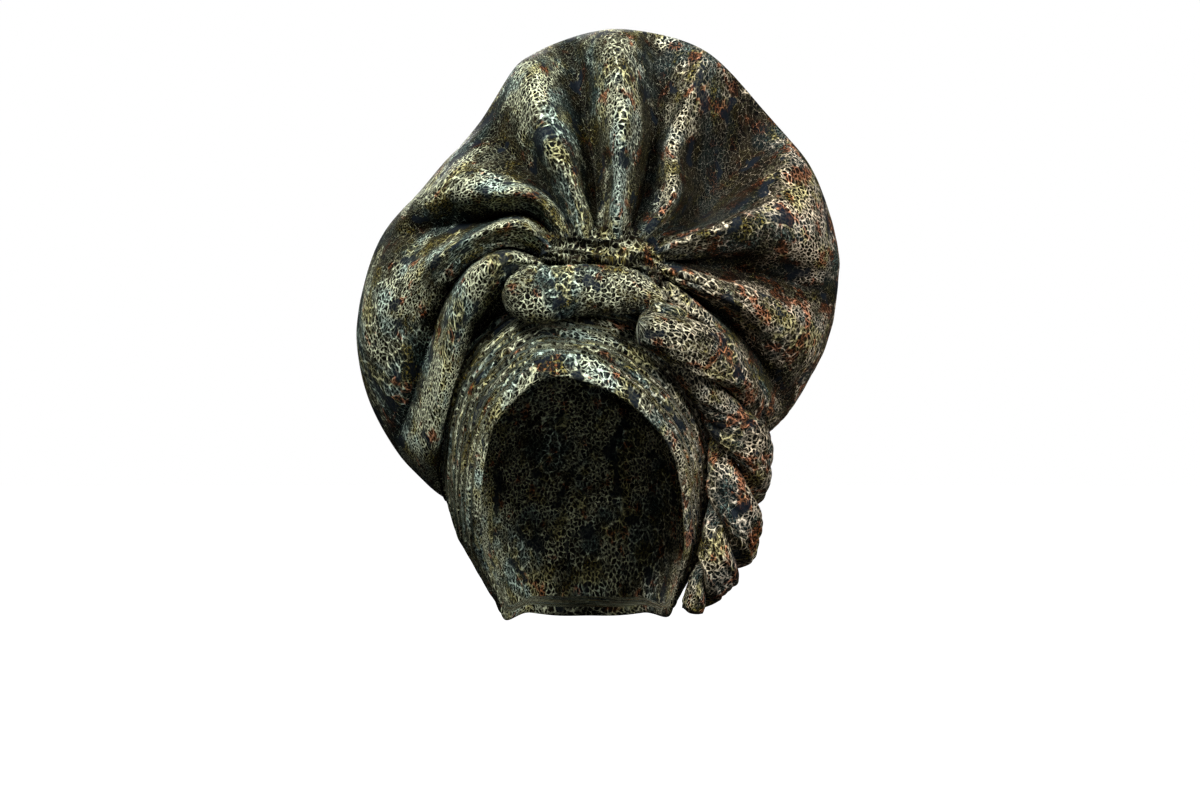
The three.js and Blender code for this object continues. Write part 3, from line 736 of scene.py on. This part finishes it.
def roll_surface(rows=210, columns=96):
    t = np.linspace(0, 1, rows)
    stations = np.stack([roll_sections[name] for name in roll_sections], -1)
    count = len(stations) - 1
    places = curve_through(stations[:, :3], t)
    spans = np.linspace(0, 1, count + 1)
    height = np.interp(t, spans, roll_sections["height"])
    depth = np.interp(t, spans, roll_sections["depth"])
    height = running_mean(height, 15, mode="edge")
    depth = running_mean(depth, 15, mode="edge")
    close = np.clip(np.minimum(t, 1 - t) / 0.03, 0, 1) ** 0.5
    turn = np.linspace(math.pi, 3 * math.pi, columns, endpoint=False)[None]
    x = places[:, 0][:, None]
    bend = 1.2 * np.cos(turn) + 0.5 * np.sin(2 * turn + x * 0.05)
    crease = 0.05 - 0.11 * (1 - np.abs(np.sin(0.42 * x + 1.1 * bend))) ** 3
    crease = crease - 0.05 * (1 - np.abs(np.sin(0.93 * x - 1.7 * bend + 2))) ** 3
    fade = 0.5 + 0.5 * np.sin(0.11 * x + turn) ** 2
    swell = 1 + crease * fade
    points = np.stack(
        [
            x + 1.2 * np.sin(turn) * fade,
            places[:, 2][:, None] - np.cos(turn) * (depth * close)[:, None] / 2 * swell,
            places[:, 1][:, None] + np.sin(turn) * (height * close)[:, None] / 2 * swell,
        ],
        -1,
    )
    points[[0, -1]] = points[[0, -1]].mean(1, keepdims=True)
    dent = crumple(points, 11, 21) * dent_depth * close[:, None]
    points = points + facing(points, True) * dent[..., None]
    flat = np.stack([x + 0 * turn, turn * roll_print_radius + 0 * x], -1)
    return points, wind_print(flat, (0, 2 * math.pi * roll_print_radius))


roll_points, roll_places = roll_surface()
roll_points = rest_on_wrap(roll_points, piece_gap)
roll = cloth_grid(
    "front_padded_roll",
    wind_closed(roll_points),
    roll_places * MM,
    closed=True,
    height=painted_light_level["roll"],
)

# %% [markdown]
# The rope is the other end of the cloth, split in two and twisted. Each strand winds round one
# middle line and is flat where it meets the other. Two round tubes would leave a gap between them.
# The table gives the line, how wide a strand is, and how far the pair has turned.

# %% The rope's middle line
rope_stations = table(
    "x z y half turn",
    (38, -3, -86, 12, -42),
    (59, -11, -81, 17, -18),
    (77, -25, -66, 19, 34),
    (94, -50, -45, 19, 116),
    (101, -83, -33, 19, 231),
    (98, -115, -28, 18, 360),
    (91, -146, -22, 18.5, 506),
    (77, -170, -16, 12.5, 669),
    (70, -185, -15, 7, 760),
)

# Shares of half a strand's width, and the print in mm
strand_shape = {"middle": 0.5, "out": 0.58, "wide": 0.88}
strand_print = {"radius": 15, "twist": 19}
print("stations of the rope:", len(rope_stations["x"]))


# %% Build the two strands
def strand_surface(phase, rows=260, columns=84):
    t = np.linspace(0, 1, rows)
    line = np.stack([rope_stations["x"], rope_stations["y"], rope_stations["z"]], -1)
    middle = curve_through(line, t)
    along = unit(np.gradient(middle, axis=0))
    spans = np.linspace(0, 1, len(line))
    half = np.interp(t, spans, rope_stations["half"])
    half = half * np.clip(np.minimum(t, 1 - t) / 0.025, 0.02, 1) ** 0.5
    turned = np.radians(np.interp(t, spans, rope_stations["turn"]) + phase)
    turned = running_mean(turned, 17, mode="reflect", reflect_type="odd")
    front = unit(np.array([0, -1.0, 0]) + along * along[:, 1:2])
    side = unit(np.cross(front, along))
    out = front * np.cos(turned)[:, None] + side * np.sin(turned)[:, None]
    wide = np.cross(along, out)
    turn = np.linspace(math.pi, 3 * math.pi, columns, endpoint=False)[None]
    spiral = turn + 0.12 * turned[:, None]
    crease = 0.02 * np.sin(5 * spiral) + 0.015 * np.sin(9 * spiral + 4 * t[:, None])
    reach = strand_shape["middle"] + strand_shape["out"] * np.cos(turn)
    reach = np.maximum(0.5 / half[:, None], reach)
    reach = reach * (1 + crease * smoothstep(reach / 0.6))
    width = strand_shape["wide"] * np.sin(turn) * (1 + crease)
    points = (
        middle[:, None]
        + out[:, None] * (reach * half[:, None])[..., None]
        + wide[:, None] * (width * half[:, None])[..., None]
    )
    points[[0, -1]] = points[[0, -1]].mean(1, keepdims=True)
    dent = crumple(points, 12, 31 + phase) * dent_depth
    points = points + facing(points, True) * dent[..., None]
    walked = np.concatenate([[0], np.cumsum(np.linalg.norm(np.diff(middle, axis=0), axis=1))])
    sideways = turn * strand_print["radius"] - strand_print["twist"] * turned[:, None] + phase
    flat = np.stack([walked[:, None] + 0 * turn, sideways], -1)
    return points, wind_print(flat, (0, 2 * math.pi * strand_print["radius"]))


strands = []
for name, phase in (("rope_strand_a", 0), ("rope_strand_b", 180)):
    strand_points, strand_places = strand_surface(phase)
    strand_points = rest_on_wrap(strand_points, piece_gap)
    strand = cloth_grid(
        name,
        wind_closed(strand_points),
        strand_places * MM,
        closed=True,
        height=painted_light_level["strand"],
    )
    strands.append(strand)

# %% [markdown]
# The cloth is a common printed brocade. Its pattern is a pale network of cells a few millimetres
# wide over near black, which breaks into specks in places and leaves plain slate patches in others,
# tinted olive, rust and grey green. An image could carry it, but a pattern worked out by nodes
# stays sharp at any distance and belongs to nobody. All of it reads the cloth's own flat map, so it
# bends and gathers as the cloth does.

# %% Start the cloth material
cloth = bpy.data.materials.new("patterned_brocade")
cloth.use_nodes = True
nodes = cloth.node_tree.nodes
links = cloth.node_tree.links
nodes.clear()

# Bumps or cells for each metre of cloth
per_metre = {
    "wobble": 170.0,
    "net zones": 42.0,
    "fine zones": 74.0,
    "cell size zones": 24.0,
    "speck zones": 48.0,
    "big cells": 175.0,
    "small cells": 340.0,
    "breaks": 330.0,
    "grain": 620.0,
    "patches": 55.0,
    "teal tint": 26.0,
    "olive tint": 46.0,
    "rust tint": 62.0,
    "ground": 90.0,
    "thread strength": 520.0,
    "ribs": 420.0,
}
thread = {
    "sand": (0.70, 0.74, 0.50, 1),
    "sea green": (0.56, 0.70, 0.58, 1),
    "rose": (0.78, 0.57, 0.42, 1),
    "olive": (0.52, 0.47, 0.17, 1),
    "rust": (0.50, 0.17, 0.07, 1),
}
speck = {
    "sand": (0.42, 0.40, 0.22, 1),
    "teal": (0.24, 0.38, 0.34, 1),
    "olive": (0.46, 0.36, 0.06, 1),
    "rust": (0.52, 0.16, 0.05, 1),
}
ground = {
    "black": (0.0015, 0.0015, 0.0012, 1),
    "brown": (0.008, 0.006, 0.003, 1),
    "teal": (0.005, 0.009, 0.009, 1),
    "slate": (0.006, 0.009, 0.013, 1),
}
print("colours of the print:", len(thread) + len(speck) + len(ground))


# %% Helpers for nodes
def feed(socket, value):
    """Links an input to another node's output, or sets it to a plain value."""
    if hasattr(value, "is_output"):
        links.new(value, socket)
    else:
        socket.default_value = value


def node(kind, **settings):
    """Adds a node; a setting named for an input, or for its number as in i0, feeds that input."""
    made = nodes.new(kind)
    for name, value in settings.items():
        if hasattr(made, name):
            setattr(made, name, value)
        elif name[0] == "i" and name[1:].isdigit():
            feed(made.inputs[int(name[1:])], value)
        else:
            feed(made.inputs[name], value)
    return made


def math_node(operation, a, b=0.0, clamp=False):
    return node("ShaderNodeMath", operation=operation, use_clamp=clamp, i0=a, i1=b).outputs[0]


def between(value, low, high):
    """0 below low, 1 above high, smooth in between."""
    made = node("ShaderNodeMapRange", interpolation_type="SMOOTHSTEP", i0=value, i1=low, i2=high)
    return made.outputs[0]


def blend_value(share, a, b):
    """a where share is 0, b where it is 1."""
    made = node("ShaderNodeMath", operation="MULTIPLY_ADD", i0=share, i1=b - a, i2=a)
    return made.outputs[0]


def blend_colour(share, a, b):
    made = node("ShaderNodeMix", data_type="RGBA", clamp_factor=True)
    feed(made.inputs[0], share)
    feed(made.inputs[6], a)
    feed(made.inputs[7], b)
    return made.outputs[2]


def scaled(value, share):
    return math_node("MULTIPLY", value, share)


def soft_noise(vector, name, detail=2.0, rough=0.5, output="Fac"):
    made = node("ShaderNodeTexNoise", noise_dimensions="2D", Scale=per_metre[name], Detail=detail)
    feed(made.inputs["Vector"], vector)
    feed(made.inputs["Roughness"], rough)
    return made.outputs[output]


# %% [markdown]
# First comes a map of zones. The net is dense in some places and thin in others, and warmer toward
# the far side; a few soft noises of different sizes say where. The mesh's painted shading then makes
# it denser, so lighter, on lit crests and thinner, so darker, in shaded creases and hollows: painted
# light and painted shade. A little wobble in the place that the cells read keeps their lines from
# being ruled straight.

# %% Where the print is dense
flat_map = node("ShaderNodeUVMap", uv_map="print").outputs[0]
wobble = soft_noise(flat_map, "wobble", 3.0, 0.6, output="Color")
wobble_reach = (0.0042, 0.0042, 0.0042)
place_on_cloth = node(
    "ShaderNodeVectorMath", operation="MULTIPLY_ADD", i0=wobble, i1=wobble_reach, i2=flat_map
).outputs[0]
# Painted light and shade from the mesh: above 0 on lit crests, below 0 in shaded creases and hollows
crest = node("ShaderNodeAttribute", attribute_name="painted_shading").outputs["Fac"]
painted_shading_shift = scaled(crest, 0.26)
net_zone = between(math_node("ADD", soft_noise(flat_map, "net zones", 3.0, 0.62), painted_shading_shift), 0.46, 0.61)
fine_zone = between(math_node("ADD", soft_noise(place_on_cloth, "fine zones"), painted_shading_shift), 0.48, 0.62)
size_zone = between(soft_noise(flat_map, "cell size zones"), 0.42, 0.58)
speck_noise = soft_noise(flat_map, "speck zones", 3.0, 0.6)
speck_zone = between(math_node("ADD", speck_noise, painted_shading_shift), 0.40, 0.62)
in_space = node("ShaderNodeSeparateXYZ", i0=node("ShaderNodeTexCoord").outputs["Object"])
warm_side = between(in_space.outputs["X"], 0.0, 0.11)
print("nodes for the zones:", len(nodes))

# %% [markdown]
# The network is drawn twice, with big cells and with small ones, and the zones choose between them.
# A Voronoi texture gives the distance to the nearest border between two cells, and a line is where
# that is small. Borders alone look like cracked glaze, so the corners are filled too, which leaves
# round dark cells.


# %% The network of cells
def cell_print(name, thin, thick, zone):
    """Pale lines between round dark cells; zone, from 0 to 1, thickens them and fills their corners."""
    cells = {"voronoi_dimensions": "2D", "Vector": place_on_cloth, "Scale": per_metre[name]}
    border = node("ShaderNodeTexVoronoi", feature="DISTANCE_TO_EDGE", **cells).outputs["Distance"]
    centre = node("ShaderNodeTexVoronoi", feature="F1", **cells).outputs["Distance"]
    width = blend_value(zone, thin, thick)
    line = math_node("SUBTRACT", 1.0, between(border, scaled(width, 0.5), width))
    corner = between(centre, blend_value(zone, 0.95, 0.66), blend_value(zone, 1.10, 0.80))
    return math_node("MAXIMUM", line, corner)


small_zone = math_node("MAXIMUM", fine_zone, scaled(net_zone, 0.9))
broken = between(soft_noise(flat_map, "breaks"), 0.42, 0.56)
big_net = scaled(cell_print("big cells", 0.01, 0.10, net_zone), blend_value(broken, 0.25, 1.0))
big_net = scaled(big_net, blend_value(size_zone, 0.25, 1.0))
small_net = scaled(cell_print("small cells", 0.03, 0.14, small_zone), blend_value(net_zone, 0.3, 0.85))
small_net = scaled(small_net, blend_value(size_zone, 1.0, 0.25))

# %% Specks and patches without print
specks = between(soft_noise(flat_map, "grain", 1.0, 0.6), 0.54, 0.62)
speck_strength = scaled(blend_value(speck_zone, 0.03, 0.28), blend_value(net_zone, 1.0, 0.2))
patch = between(soft_noise(place_on_cloth, "patches", 2.5), 0.63, 0.68)
unprinted = math_node("SUBTRACT", 1.0, scaled(patch, 0.9))
light_thread = scaled(math_node("MAXIMUM", big_net, small_net), unprinted)
speckled = scaled(scaled(specks, speck_strength), unprinted)
print("nodes for zones, cells and specks:", len(nodes))

# %% [markdown]
# The print's threads aren't one colour. Each tint has its own soft noise, so olive, rust and green
# drift over the net without following it. The ground under it is near black, and slate in the plain
# patches.

# %% Colours of the print
teal_share = between(soft_noise(flat_map, "teal tint", 2.5, 0.6), 0.46, 0.62)
olive_share = between(soft_noise(flat_map, "olive tint", 3.0, 0.65), 0.50, 0.64)
rust_noise = soft_noise(flat_map, "rust tint", 3.0, 0.65, output="Color")
rust_share = node("ShaderNodeSeparateColor", Color=rust_noise).outputs[1]
rust_share = between(math_node("ADD", rust_share, scaled(warm_side, 0.08)), 0.61, 0.70)
pale = blend_colour(teal_share, thread["sand"], thread["sea green"])
pale = blend_colour(scaled(warm_side, 0.65), pale, thread["rose"])
pale = blend_colour(scaled(olive_share, 0.7), pale, thread["olive"])
pale = blend_colour(scaled(rust_share, 0.85), pale, thread["rust"])
tinted = blend_colour(teal_share, speck["sand"], speck["teal"])
tinted = blend_colour(olive_share, tinted, speck["olive"])
tinted = blend_colour(rust_share, tinted, speck["rust"])
brown_share = between(soft_noise(flat_map, "ground", 3.0), 0.45, 0.65)
dark = blend_colour(brown_share, ground["black"], ground["brown"])
dark = blend_colour(scaled(teal_share, 0.6), dark, ground["teal"])
dark = blend_colour(patch, dark, ground["slate"])
strength = blend_value(soft_noise(flat_map, "thread strength", 1.0, 0.6), -0.75, 2.45)
beneath = blend_colour(math_node("MULTIPLY", speckled, strength, clamp=True), dark, tinted)
printed = blend_colour(math_node("MULTIPLY", light_thread, strength, clamp=True), beneath, pale)
print("nodes with the colours:", len(nodes))

# %% [markdown]
# Brocade has fine diagonal ribs, and its pale threads stand a little proud of the ground and shine
# a little more. The ribs are too fine to model, so they are bump, a fraction of a millimetre high.

# %% Weave, gloss and relief of the cloth
ribs = node("ShaderNodeTexWave", wave_type="BANDS", bands_direction="DIAGONAL", Vector=flat_map)
feed(ribs.inputs["Scale"], per_metre["ribs"])
feed(ribs.inputs["Distortion"], 1.5)
feed(ribs.inputs["Detail"], 1.0)
rib_relief = scaled(ribs.outputs["Fac"], 0.25)
relief = node("ShaderNodeMath", operation="MULTIPLY_ADD", i0=light_thread, i1=0.7, i2=rib_relief)
bump = node("ShaderNodeBump", Strength=0.55, Distance=0.0004, Height=relief.outputs[0])
surface = node("ShaderNodeBsdfPrincipled")
feed(surface.inputs["Base Color"], printed)
feed(surface.inputs["Roughness"], blend_value(light_thread, 0.62, 0.50))
feed(surface.inputs["Normal"], bump.outputs[0])
feed(surface.inputs["Specular IOR Level"], 0.03)
output = node("ShaderNodeOutputMaterial")
feed(output.inputs["Surface"], surface.outputs[0])
print("nodes of the cloth:", len(nodes))

# %% [markdown]
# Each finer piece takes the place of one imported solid, wears the one cloth, and moves with the
# whole tie.

# %% Dress the pieces
pieces = {
    "head_wrap": head_wrap,
    "fan": fan,
    "gather_knot": gather,
    "front_roll": roll,
    "twist_strand_a": strands[0],
    "twist_strand_b": strands[1],
}
for cad_node, piece in pieces.items():
    piece.data.materials.append(cloth)
    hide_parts(cad_node)
    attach(piece, "root")
print("pieces dressed:", ", ".join(pieces))

# %% [markdown]
# The fan and the wrap are sheets, so their areas are measured. The gather, the roll and the strands
# are padded: bunched or rolled cloth that fills part of its own space.


# %% Measure the cloth
def cloth_area(points):
    """Area of a grid of points in mm, in square metres: two triangles for each of its squares."""
    a = points[:-1, :-1]
    b = points[:-1, 1:]
    c = points[1:, 1:]
    d = points[1:, :-1]
    lower = np.linalg.norm(np.cross(b - a, c - a), axis=-1)
    upper = np.linalg.norm(np.cross(c - a, d - a), axis=-1)
    return float((lower + upper).sum() / 2) * MM * MM


fan_area = cloth_area(fan_points)
wrap_area = cloth_area(wind_closed(wrap_points)) / 2
print("cloth areas in square metres: fan", round(fan_area, 3), "wrap", round(wrap_area, 3))

# %% [markdown]
# The set is a plain pale floor in a white studio. The floor glows a little, so it is as white as
# the studio behind it and no horizon shows, and it is kept out of the light that reaches the cloth.

# %% Floor
floor_level = -0.42
floor_radius = 14
bm = bmesh.new()
bmesh.ops.create_circle(bm, cap_ends=True, segments=96, radius=floor_radius)
floor_mesh = bpy.data.meshes.new("pale_floor")
bm.to_mesh(floor_mesh)
bm.free()
floor_mesh.transform(Matrix.Translation((0, 0, floor_level)))
floor = bpy.data.objects.new("pale_floor", floor_mesh)
bpy.context.scene.collection.objects.link(floor)
floor_paint = bpy.data.materials.new("pale_floor_paint")
floor_paint.use_nodes = True
paint = floor_paint.node_tree.nodes["Principled BSDF"]
glowing_white = {
    "Base Color": (0.93, 0.93, 0.93, 1),
    "Roughness": 0.9,
    "Specular IOR Level": 0.1,
    "Emission Color": (1, 1, 1, 1),
    "Emission Strength": 1.0,
}
for name, value in glowing_white.items():
    paint.inputs[name].default_value = value
floor_mesh.materials.append(floor_paint)
floor.visible_diffuse = False
floor.visible_glossy = False
print("floor at", floor_level, "m")

# %% [markdown]
# The camera sees a white world, but the cloth is lit by very little of it: an all-round glow would
# flatten the folds. Round soft lamps do that work instead. The key lamp stands high at the near
# side, which leaves the creases dark, and the others lift the far side, the top, the underside and
# the back.

# %% World
scene = bpy.context.scene
world = bpy.data.worlds.new("white_studio")
scene.world = world
world.use_nodes = True
seen = world.node_tree.nodes["Background"]
seen.inputs["Color"].default_value = (1, 1, 1, 1)
seen.inputs["Strength"].default_value = 1.0
fill_light = world.node_tree.nodes.new("ShaderNodeBackground")
fill_light.inputs["Color"].default_value = (1, 1, 1, 1)
fill_light.inputs["Strength"].default_value = 0.05
ray = world.node_tree.nodes.new("ShaderNodeLightPath")
choose = world.node_tree.nodes.new("ShaderNodeMixShader")
world.node_tree.links.new(ray.outputs["Is Camera Ray"], choose.inputs[0])
world.node_tree.links.new(fill_light.outputs[0], choose.inputs[1])
world.node_tree.links.new(seen.outputs[0], choose.inputs[2])
world.node_tree.links.new(choose.outputs[0], world.node_tree.nodes["World Output"].inputs["Surface"])
print("the world lights the cloth at", fill_light.inputs["Strength"].default_value)

# %% Soft lamps
# Place in metres, width in metres, power in watts
softboxes = {
    "key_softbox": ((-0.7, -1.35, 1.4), 0.6, 67),
    "fill_softbox": ((1.25, -1.4, 0.6), 0.7, 38),
    "top_softbox": ((0.2, -0.7, 1.9), 0.8, 11),
    "low_softbox": ((0.1, -2.0, -0.75), 0.9, 14),
    "back_softbox": ((-0.3, 2.1, 0.9), 0.9, 34),
}
aimed_at = Vector((0.01, 0, 0))
for name, (place, width, power) in softboxes.items():
    light = bpy.data.lights.new(name, "AREA")
    light.shape = "DISK"
    light.size = width
    light.energy = power
    lamp = bpy.data.objects.new(name, light)
    scene.collection.objects.link(lamp)
    lamp.location = place
    lamp.rotation_euler = (aimed_at - Vector(place)).to_track_quat("-Z", "Y").to_euler()
print("soft lamps:", len(softboxes))

# %% [markdown]
# The camera stands straight in front, a little below the middle of the tie and well back, so that
# near and far folds keep their real proportions. The lens follows from how wide the picture is at
# that distance.

# %% Camera
camera_data = bpy.data.cameras.new("front_camera")
camera = bpy.data.objects.new("front_camera", camera_data)
scene.collection.objects.link(camera)
frame_width = 0.756
distance = 2.4
camera_data.sensor_width = 36
camera_data.lens = camera_data.sensor_width * distance / frame_width
camera.location = (0.0145, -distance, -0.0517)
camera.rotation_euler = (math.radians(90), 0, 0)
scene.camera = camera
scene.view_settings.view_transform = "Standard"
scene.view_settings.look = "None"
print("lens", round(camera_data.lens, 1), "mm")
